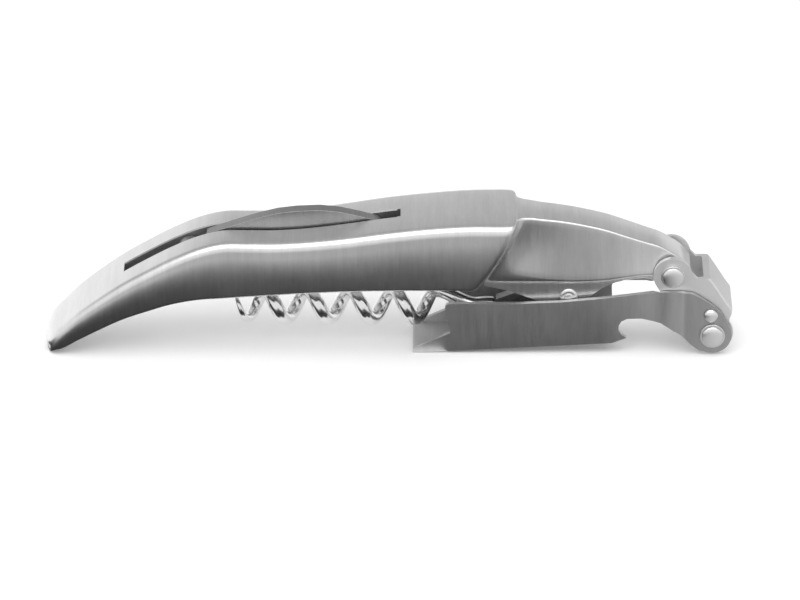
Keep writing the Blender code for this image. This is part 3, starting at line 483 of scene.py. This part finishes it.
def handle_rings(sizes):
    """Sections of the handle: rounded half outlines, mirrored, each leaning with depth."""
    rows = smooth_rows(STATION_SHARES, sizes.smoothing)
    along, lean, top, widest, low, width = rows.T
    height = sizes.body_height
    top, widest, low = top * height, widest * height, low * height
    half = (sizes.head_width + width * (sizes.grip_width - sizes.head_width)) / 2
    grip = np.clip(width, 0, 1)
    inset = half * (0.15 - 0.11 * grip)
    crown = np.minimum(0.00015, (top - widest) / 4)
    hollow = np.minimum(0.0008, (widest - low) / 4)
    none = np.zeros_like(top)
    corners = [
        np.stack(pair, -1)
        for pair in (
            (none, top),
            (half - inset, top - crown),
            (half, widest),
            (half - 0.00085, low),
            (none, low + hollow),
        )
    ]
    a, b, c, d, e = corners
    edge = rounded_corner(a, b, c, (0.0004 + 0.0016 * grip)[:, None], 10)
    ridge = rounded_corner(b, c, d, (0.0004 + (height - 0.0004) * grip)[:, None], 10)
    down = np.linspace(0, 1, 12)[None, 1:-1, None]
    flank = edge[:, -1:] * (1 - down) + ridge[:, :1] * down
    hollow_depth = 0.00008 + 0.00036 * np.exp(-(((along - 0.75) / 0.045) ** 2))
    hollow_depth = hollow_depth * (1 - grip) ** 2 * (along > 0.74)
    flank[..., 0] -= hollow_depth[:, None] * np.sin(math.pi * down[..., 0])
    right = np.concatenate(
        (
            a[:, None],
            a[:, None] * 0.6 + b[:, None] * 0.4,
            edge,
            flank,
            ridge,
            rounded_corner(c, d, e, 0.001, 7),
            e[:, None],
        ),
        axis=1,
    )
    left = right[:, -2:0:-1] * (-1, 1)
    ring = np.concatenate((right, left), axis=1)
    drop = np.maximum(top[:, None] - ring[..., 1], 0)
    lean_length = lean[:, None] * drop * (2 * drop / height) ** 0.4
    bow = 0.0011 * np.maximum(0, 1 - along / 0.05)[:, None] * (ring[..., 0] / half[:, None]) ** 4
    x = HANDLE_LOW.x + along[:, None] * sizes.body_length + bow - lean_length
    return np.stack((x, ring[..., 0], ring[..., 1]), -1), rows


def prism(name, outline, low, high, metal=None):
    """A flat outline in XZ carried from one place along Y to another."""
    flat = np.array(outline)
    ends = []
    for place in (low, high):
        y = np.full(len(flat), place)
        ends.append(np.stack((flat[:, 0], y, flat[:, 1]), -1))
    return surface(name, np.stack(ends), metal, wrap_columns=True, capped=True)


def around(centre, radius, start, end, steps):
    """Points on an arc in XZ, its angles in degrees."""
    angles = np.radians(np.linspace(start, end, steps + 1))
    x = centre[0] + radius * np.cos(angles)
    z = centre[1] + radius * np.sin(angles)
    return [tuple(point) for point in np.stack((x, z), -1)]


def rod(name, radius, low, high, place, sides=48):
    ring = around((place.x, place.z), radius, 0, 360 * (1 - 1 / sides), sides - 1)
    return prism(name, ring, low, high)


def turned(name, profile, place, metal, sharp=40, sides=72):
    """A profile of (radius, place along Y) carried round the Y axis through a point."""
    radius, along = np.array(profile).T
    angle = np.linspace(0, 2 * math.pi, sides, endpoint=False)[:, None]
    x = place.x + radius * np.cos(angle)
    z = place.z + radius * np.sin(angle)
    y = np.broadcast_to(along, x.shape)
    made = surface(name, np.stack((x, y, z), -1), metal, wrap_rows=True)
    made.data.set_sharp_from_angle(angle=math.radians(sharp))
    return made


def dressed(name, node, metal, bevel, segments=3, cutters=()):
    """A copy of a CAD node with whole flat faces, cut where asked, its edges rounded."""
    mesh = frame["nodes"][node].data.copy()
    mesh.name = name
    mesh.materials.clear()
    shell = bmesh.new()
    shell.from_mesh(mesh)
    bmesh.ops.remove_doubles(shell, verts=shell.verts, dist=SAME_POINT)
    bmesh.ops.dissolve_limit(
        shell, angle_limit=math.radians(0.6), verts=shell.verts, edges=shell.edges
    )
    shell.to_mesh(mesh)
    shell.free()
    made = piece(name, mesh, metal, sharp=180)
    combine(made, cutters, "DIFFERENCE")
    step = made.modifiers.new("edges", "BEVEL")
    step.width = bevel
    step.segments = segments
    step.limit_method = "ANGLE"
    step.angle_limit = math.radians(38)
    even = made.modifiers.new("even", "WEIGHTED_NORMAL")
    even.weight = 100
    return settled(made, None, cutters)


def place_on(made, body, slot, *nodes):
    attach(made, body)
    if nodes:
        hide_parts(*nodes)
    return made


class CORKSCREW_OT_handle(bpy.types.Operator):
    """Make the one-piece handle with its slots, ears and bores"""

    bl_idname = "corkscrew.handle"
    bl_label = "Handle"

    def execute(self, context):
        sizes = context.scene.corkscrew_handle
        rings, rows = handle_rings(sizes)
        body = surface("handle_shell", rings, "handle", wrap_columns=True, capped=True)
        # The body's second metal is a darker grey of painted shade for its cut walls.
        body.data.materials.append(METALS["recess_shade"])
        worm = PIVOTS["worm_pivot"]
        reach = PIVOTS["link_pivot"].x - worm.x
        root = sizes.body_height * 0.58

        def ear_point(share):
            return (worm.x + share[0] * reach, share[1] * worm.z)

        ear = [ear_point(share) for share in EAR_FRONT_SHARES]
        ear.insert(0, (ear[0][0], root))
        ear += around((worm.x, worm.z), 0.0041, 225, 355, 24)
        ear += [ear_point(share) for share in EAR_BACK_SHARES]
        ear.append((ear[-1][0], root))
        half = sizes.head_width / 2 - sizes.ear_inset
        changed(body, [prism("ears", ear, -half, half, "handle")], "UNION")

        knife = PIVOTS["knife_pivot"]
        spring_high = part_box("back_spring")[1]
        start = HANDLE_LOW.x + 0.01665
        end = spring_high.x + 0.0003
        slope = 0.001
        x = np.concatenate((np.linspace(start, end, 120), [end + slope]))
        width = 0.00375 / 2
        top = np.interp(x, HANDLE_LOW.x + rows[:, 0] * sizes.body_length, rows[:, 2])
        top = top * sizes.body_height
        tang_floor = knife.z - 0.0051
        floor = np.interp(
            x,
            (start, knife.x - 0.0033, end, end + slope),
            (tang_floor - 0.002, tang_floor, tang_floor + 0.0027, sizes.body_height + 0.004),
        )
        top[-1] = sizes.body_height + 0.006
        chamfer = sizes.rim_chamfer
        flare = 0.003
        section = (
            (-width, floor),
            (width, floor),
            (width, top - chamfer),
            (width + flare, top - chamfer + flare),
            (-width - flare, top - chamfer + flare),
            (-width, top - chamfer),
        )
        grid = [np.stack((x, np.full_like(x, y), z), -1) for y, z in section]
        slot = surface("slot", np.stack(grid, 1), None, wrap_columns=True, capped=True)
        ceiling = 0.565 * sizes.body_height
        back = worm.x + 0.0034 + 0.00075
        front = worm.x - 0.0258
        below = worm.z - 0.009
        well_half = 0.0027
        outline = ((front, below), (back, below), (back, ceiling), (front, ceiling))
        well = prism("well", outline, -well_half, well_half)
        low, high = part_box("spring_pin")
        spring_place = (low + high) / 2
        cutters = [
            slot,
            well,
            rod("knife_bore", KNIFE_BORE, BLIND_END, PAST_SIDE, knife),
            rod("spring_bore", SPRING_BORE, BLIND_END, PAST_SIDE, spring_place),
            rod("worm_bore", WORM_BORE, -PAST_SIDE, PAST_SIDE, worm),
            rod("link_bore", LINK_BORE, -PAST_SIDE, PAST_SIDE, PIVOTS["link_pivot"]),
        ]
        # The cut walls take the body's second metal, which the cutters' faces point to: a darker
        # grey that paints the shade in the slot, the well and the bores.
        for cutter in cutters:
            cutter.data.materials.append(METALS["recess_shade"])
            cutter.data.materials.append(METALS["recess_shade"])
            cutter.data.polygons.foreach_set("material_index", [1] * len(cutter.data.polygons))
        changed(body, cutters, "DIFFERENCE")
        place_on(body, "handle", "brushed_steel", "handle_body")
        return {"FINISHED"}


class CORKSCREW_OT_knife(bpy.types.Operator):
    """Make the foil cutter, its leaf spring and their pins"""

    bl_idname = "corkscrew.knife"
    bl_label = "Knife and spring"

    def execute(self, context):
        blade = dressed("knife_leaf", "knife_blade", "blade", 0.00022)
        place_on(blade, "knife", "blade_steel", "knife_blade")
        # The leaf takes the dark grey of painted shade inside the knife's slot.
        leaf = dressed("spring_leaf", "back_spring", "recess_shade", 0.00012)
        place_on(leaf, "handle", "spring_steel", "back_spring")
        for node in ("knife_pivot_pin", "spring_pin"):
            made = dressed(node + "_end", node, "rivet", 0.0001)
            place_on(made, "handle", "satin_steel", node)
        return {"FINISHED"}


def worm_line(sizes):
    """Points and wire radii along the worm, from its tip to its shank's end.

    The turns are a right-handed helix about X: the angle grows by a turn for each pitch,
    and the tip's turns are drawn closer. The wire then winds in to the axis.
    """
    pivot = PIVOTS["worm_pivot"]
    turns = np.linspace(-sizes.turns, 0.42, 330)
    low_angle = math.radians(245)
    angles = low_angle + 2 * math.pi * turns
    tip = np.minimum((turns + sizes.turns) / 0.75, 1)
    tip_radius = 0.00025
    wire = tip_radius + (sizes.wire_radius - tip_radius) * tip
    last_x = pivot.x - 0.0326
    closing = 0.2 * (1 - np.minimum((turns + sizes.turns) / 1.5, 1)) ** 2
    x = last_x + sizes.pitch * (turns + closing)
    steps = np.linspace(0, 1, 50)[1:]
    ease = 1 - steps**2 * (3 - 2 * steps)
    run_angles = angles[-1] + math.radians(54) * (2 * steps - steps**2)
    shank_x = pivot.x - 0.0195
    run_x = x[-1] + (shank_x - x[-1]) * steps
    radius = sizes.coil_radius
    end_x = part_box("worm_spiral")[1].x
    nose = sizes.shank_radius / 3
    curve = np.radians(np.linspace(0, 90, 7))
    end_places = end_x - nose + nose * np.sin(curve)
    end_radii = sizes.shank_radius - nose + nose * np.cos(curve)
    shank_x_places = np.concatenate(([shank_x + sizes.wire_radius], end_places, [end_x]))
    shank_radii = np.concatenate(([sizes.shank_radius], end_radii, [1e-5]))
    height = 0.268 * bpy.context.scene.corkscrew_handle.body_height
    centre = np.concatenate(
        (
            np.stack((x, radius * np.cos(angles), radius * np.sin(angles)), -1),
            np.stack(
                (
                    run_x,
                    radius * ease * np.cos(run_angles),
                    radius * ease * np.sin(run_angles),
                ),
                -1,
            ),
            np.stack((shank_x_places, 0 * shank_x_places, 0 * shank_x_places), -1),
        )
    )
    centre[:, 2] += height
    radii = np.concatenate((wire, np.full(len(steps), sizes.wire_radius), shank_radii))
    tip_point = centre[0] - (centre[1] - centre[0])
    centre = np.vstack((tip_point, centre))
    radii = np.concatenate(([1e-5], radii))
    return centre, radii


def tube(name, centre, radii, metal, sides=32):
    """A round skin about a line: each ring lies square to the line's own direction.

    The ring's first axis points outwards from the line's end height, less its share
    along the line. A shallow groove follows that side of the wire: the radius is
    less there by a bell curve of the angle, and it fades where the wire winds in.
    """
    along = np.gradient(centre, axis=0)
    along /= np.linalg.norm(along, axis=1, keepdims=True) + 1e-12
    outwards = (centre - centre[-1]) * (0, 1, 1)
    guide = outwards + (0.0, 0.0, 0.0004)
    first = guide - along * (guide * along).sum(1, keepdims=True)
    first /= np.linalg.norm(first, axis=1, keepdims=True) + 1e-12
    second = np.cross(along, first)
    angle = np.linspace(-math.pi, math.pi, sides, endpoint=False)[None, :, None]
    coiled = np.minimum(np.linalg.norm(outwards, axis=1) / COIL_RADIUS, 1)[:, None, None]
    groove = 1 - 0.14 * coiled**4 * np.exp(-((angle / 0.28) ** 2))
    rings = centre[:, None] + radii[:, None, None] * groove * (
        first[:, None] * np.cos(angle) + second[:, None] * np.sin(angle)
    )
    return surface(name, rings, metal, wrap_columns=True, capped=True)


class CORKSCREW_OT_worm(bpy.types.Operator):
    """Make the worm with its shank, its arm and its rivet"""

    bl_idname = "corkscrew.worm"
    bl_label = "Worm"

    def execute(self, context):
        centre, radii = worm_line(context.scene.corkscrew_worm)
        place_on(
            tube("worm_wire", centre, radii, "worm"), "worm", "polished_steel", "worm_spiral"
        )
        # The arm takes the dark grey of painted shade between the head's cheeks.
        arm = dressed("worm_arm", "worm_hub", "recess_shade", 0.00018)
        place_on(arm, "worm", "satin_steel", "worm_hub")
        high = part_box("worm_rivet")[1]
        rivet = turned(
            "worm_rivet_turned",
            rivet_profile(0.00125, 0.0019, 0.0005, high.y, ringed=True),
            PIVOTS["worm_pivot"],
            "rivet",
        )
        place_on(rivet, "handle", "polished_steel", "worm_rivet")
        for node in ("worm_washer_near", "worm_washer_far"):
            place_on(ring_washer(node, WORM_BORE), "handle", "satin_steel", node)
        return {"FINISHED"}


def rivet_profile(shaft, head, height, reach, ringed=False):
    """Half outline of a rivet: a domed head, rounded at its rim, on a plain shaft.

    The dome is an ellipse's quarter: its height falls with the root of one less the
    radius share squared. A ringed head has a groove round a small raised middle.
    """
    t = np.radians(np.linspace(0, 78, 14))
    radius = head * np.sin(t)
    dome = reach - height * (1 - np.cos(t)) * 0.85
    if ringed:
        dome = dome - 0.00012 * np.exp(-(((radius - head * 0.55) / (head * 0.09)) ** 2))
    face = reach - height
    half = list(zip(radius, dome))
    half += [(head, face + height * 0.12), (head, face), (shaft, face)]
    half[0] = (1e-7, half[0][1])
    return half + [(r, -y) for r, y in reversed(half)]


def ring_washer(node, bore):
    """A flat ring in a washer's place, its rims rounded by quarter circles."""
    low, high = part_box(node)
    radius = (high.x - low.x) / 2
    place = (low + high) / 2
    soft = min(0.00012, (high.y - low.y) / 3)
    quarter = np.radians(np.linspace(0, 90, 5))
    inner = radius - soft
    profile = [(bore, low.y), (bore, high.y)]
    profile += [(inner + soft * math.sin(a), high.y - soft + soft * math.cos(a)) for a in quarter]
    profile += [(inner + soft * math.cos(a), low.y + soft - soft * math.sin(a)) for a in quarter]
    profile.append((bore, low.y))
    return turned(node + "_ring", profile, place, "washer")


class CORKSCREW_OT_link(bpy.types.Operator):
    """Make the link, its rivet, its washers and the bush at the lever"""

    bl_idname = "corkscrew.link"
    bl_label = "Link"

    def execute(self, context):
        link = dressed("link_plate", "link_bracket", "link", 0.0004, segments=4)
        place_on(link, "link", "polished_steel", "link_bracket")
        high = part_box("link_rivet")[1]
        profile = rivet_profile(0.0015, 0.0022, 0.0006, high.y)
        rivet = turned("link_rivet_turned", profile, PIVOTS["link_pivot"], "rivet")
        place_on(rivet, "handle", "polished_steel", "link_rivet")
        for node in ("link_washer_near", "link_washer_far"):
            place_on(ring_washer(node, LINK_BORE), "handle", "polished_steel", node)
        bush = ring_washer("lever_bush", LEVER_BORE)
        place_on(bush, "link", "satin_steel", "lever_bush")
        return {"FINISHED"}


class CORKSCREW_OT_lever(bpy.types.Operator):
    """Make the lever, its rivet, its washers and the stop pin"""

    bl_idname = "corkscrew.lever"
    bl_label = "Lever"

    def execute(self, context):
        inside, front, back, low, high = 0.0057, 0.0466, 0.0506, -0.001, 0.006
        notch = ((front, low), (back, low), (back, high), (front, high))
        cutter = prism("floor_notch", notch, -inside, inside)
        lever = dressed("lever_channel", "lever_arm", "lever", 0.0004, 4, (cutter,))
        place_on(lever, "lever", "satin_steel", "lever_arm")
        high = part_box("lever_rivet")[1]
        profile = rivet_profile(0.00135, 0.00225, 0.0007, high.y)
        rivet = turned("lever_rivet_turned", profile, PIVOTS["lever_pivot"], "rivet")
        place_on(rivet, "link", "polished_steel", "lever_rivet")
        for node in ("lever_washer_near", "lever_washer_far"):
            place_on(ring_washer(node, LEVER_BORE), "lever", "polished_steel", node)
        low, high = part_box("stop_pin")
        profile = rivet_profile(0.00095, 0.0015, 0.0009, high.y)
        pin = turned("stop_pin_turned", profile, (low + high) / 2, "rivet")
        place_on(pin, "lever", "polished_steel", "stop_pin")
        return {"FINISHED"}


def lamp(name, place, target, size, power):
    """A soft rectangular lamp, turned to face a point."""
    light = bpy.data.lights.new(name, "AREA")
    light.shape = "RECTANGLE"
    light.size, light.size_y = size
    light.energy = power
    made = bpy.data.objects.new(name, light)
    made.location = place
    made.rotation_euler = (Vector(target) - Vector(place)).to_track_quat("-Z", "Y").to_euler()
    bpy.context.scene.collection.objects.link(made)
    return made


class CORKSCREW_OT_stage(bpy.types.Operator):
    """Make the white table, the studio light and the camera"""

    bl_idname = "corkscrew.stage"
    bl_label = "Stage"

    def execute(self, context):
        context.scene.view_settings.view_transform = "Standard"
        make_world(context.scene)
        make_sheets()
        lamp("overhead_box", (0.0, -0.27, 0.58), (0, 0, 0.01), (0.8, 0.6), 2.0)
        make_camera(context.scene)
        return {"FINISHED"}


def make_world(scene):
    """White to the camera. Reflections see a room that darkens with height behind."""
    scene.world = bpy.data.worlds.new("studio")
    studio = Finish("studio", scene.world)
    camera, glossy, through = studio.ray_kinds()
    across, depth, height = studio.axes(studio.node("ShaderNodeTexCoord", output=0))
    back = 0.38 + 0.62 * (1 - ((height + across * 0.15 - 0.22) / 0.16).clamped())
    behind = ((depth + 0.2) / 0.5).clamped()
    room = 0.85 * (1 - behind) + back * behind
    strength = 0.85 + camera.most(through) * 0.15
    strength = strength * (1 - glossy) + room * glossy
    inputs = {"Color": (1, 1, 1, 1), "Strength": strength}
    studio.done(studio.node("ShaderNodeBackground", None, inputs))


def make_sheets():
    """The table, and two cards on it that only reflections see."""
    size = 4.0
    x, y = np.meshgrid(np.linspace(-size, size, 9), np.linspace(-size, size, 9), indexing="ij")
    METALS["table"] = white_table()
    table = surface("table", np.stack((x, y, 0 * x - 0.00002), -1), "table")
    if table.data.polygons[0].normal.z < 0:
        table.data.flip_normals()

    x, share = np.meshgrid(np.linspace(-0.8, 0.8, 321), np.linspace(0, 1, 5), indexing="ij")
    near = np.where(np.abs(x + 0.0125) < 0.023, -0.009, -0.003)
    y = near + (-0.7 - near) * share
    METALS["card"] = dark_card()
    METALS["back_card"] = Finish("back_card").grey_glow(0.30)
    card = surface("dark_card", np.stack((x, y, 0 * x + CARD_HEIGHT), -1), "card")
    x, y = np.meshgrid(np.linspace(0.09, 0.5, 3), np.linspace(0.03, 0.6, 3), indexing="ij")
    back = surface("back_card", np.stack((x, y, 0 * x + CARD_HEIGHT), -1), "back_card")
    for made in (card, back):
        made.visible_camera = False
        made.visible_diffuse = False
        made.visible_shadow = False
        made.visible_transmission = False


def make_camera(scene):
    """A long lens, so that a millimetre is about the same number of pixels everywhere."""
    elevation = math.radians(25.16)
    target = Vector((0.00181, 0, 0.00917))
    distance = 1.5
    lens_camera = bpy.data.cameras.new("camera")
    lens_camera.sensor_width = SENSOR
    lens_camera.lens = SENSOR * distance / (IMAGE_WIDTH / PIXELS_PER_MM / 1000)
    lens_camera.clip_start = 0.01
    made = bpy.data.objects.new("camera", lens_camera)
    made.location = target + distance * Vector((0, -math.cos(elevation), math.sin(elevation)))
    made.rotation_euler = (math.radians(90) - elevation, 0, 0)
    scene.collection.objects.link(made)
    scene.camera = made


def white_table():
    """White where light falls, and darker only in the object's shadow."""
    paper = Finish("white_table")
    camera, glossy, through = paper.ray_kinds()
    glow = camera.most(glossy).most(through) * 0.12
    shader = paper.node(
        "ShaderNodeBsdfPrincipled",
        None,
        {
            "Base Color": (0.9, 0.9, 0.9, 1),
            "Roughness": 1.0,
            "Specular IOR Level": 0.0,
            "Emission Color": (1, 1, 1, 1),
            "Emission Strength": glow,
        },
    )
    return paper.done(shader)


def dark_card():
    """Dark near the object and lighter further in front of it and towards the hinge."""
    paper = Finish("dark_card")
    along, depth, _ = paper.axes(paper.node("ShaderNodeTexCoord", output=3))
    ahead = depth / -0.4
    stops = (
        (0.05, 0.035),
        (0.075, 0.055),
        (0.10, 0.09),
        (0.155, 0.15),
        (0.20, 0.24),
        (0.25, 0.36),
        (0.375, 0.58),
        (0.525, 0.80),
        (0.75, 0.90),
    )
    shade = paper.node("ShaderNodeValToRGB", {"stops": stops}, {"Fac": ahead})
    hinge = ((along - 0.045) / 0.025).clamped()
    level = shade * (1 - hinge) + 0.58 * hinge
    glow = paper.node("ShaderNodeEmission", None, {"Color": paper.grey(level)})
    return paper.done(glow)


class CORKSCREW_PT_panel(bpy.types.Panel):
    """The corkscrew's pieces and sizes"""

    bl_idname = "CORKSCREW_PT_panel"
    bl_label = "Corkscrew"
    bl_space_type = "VIEW_3D"
    bl_region_type = "UI"
    bl_category = "Corkscrew"

    def draw(self, context):
        for group in ("corkscrew_handle", "corkscrew_worm", "corkscrew_metals"):
            box = self.layout.box()
            sizes = getattr(context.scene, group)
            for name in sizes.__annotations__:
                box.prop(sizes, name)
        for operator in OPERATORS:
            self.layout.operator(operator.bl_idname)


OPERATORS = (
    CORKSCREW_OT_handle,
    CORKSCREW_OT_knife,
    CORKSCREW_OT_worm,
    CORKSCREW_OT_link,
    CORKSCREW_OT_lever,
    CORKSCREW_OT_stage,
)
CLASSES = (HandleSizes, WormSizes, MetalColours, *OPERATORS, CORKSCREW_PT_panel)


def register():
    for made in CLASSES:
        bpy.utils.register_class(made)
    bpy.types.Scene.corkscrew_handle = PointerProperty(type=HandleSizes)
    bpy.types.Scene.corkscrew_worm = PointerProperty(type=WormSizes)
    bpy.types.Scene.corkscrew_metals = PointerProperty(type=MetalColours)


def unregister():
    del bpy.types.Scene.corkscrew_metals
    del bpy.types.Scene.corkscrew_worm
    del bpy.types.Scene.corkscrew_handle
    for made in reversed(CLASSES):
        bpy.utils.unregister_class(made)


def main():
    register()
    make_metals()
    bpy.ops.corkscrew.handle()
    bpy.ops.corkscrew.knife()
    bpy.ops.corkscrew.worm()
    bpy.ops.corkscrew.link()
    bpy.ops.corkscrew.lever()
    bpy.ops.corkscrew.stage()


if __name__ == "__main__":
    main()
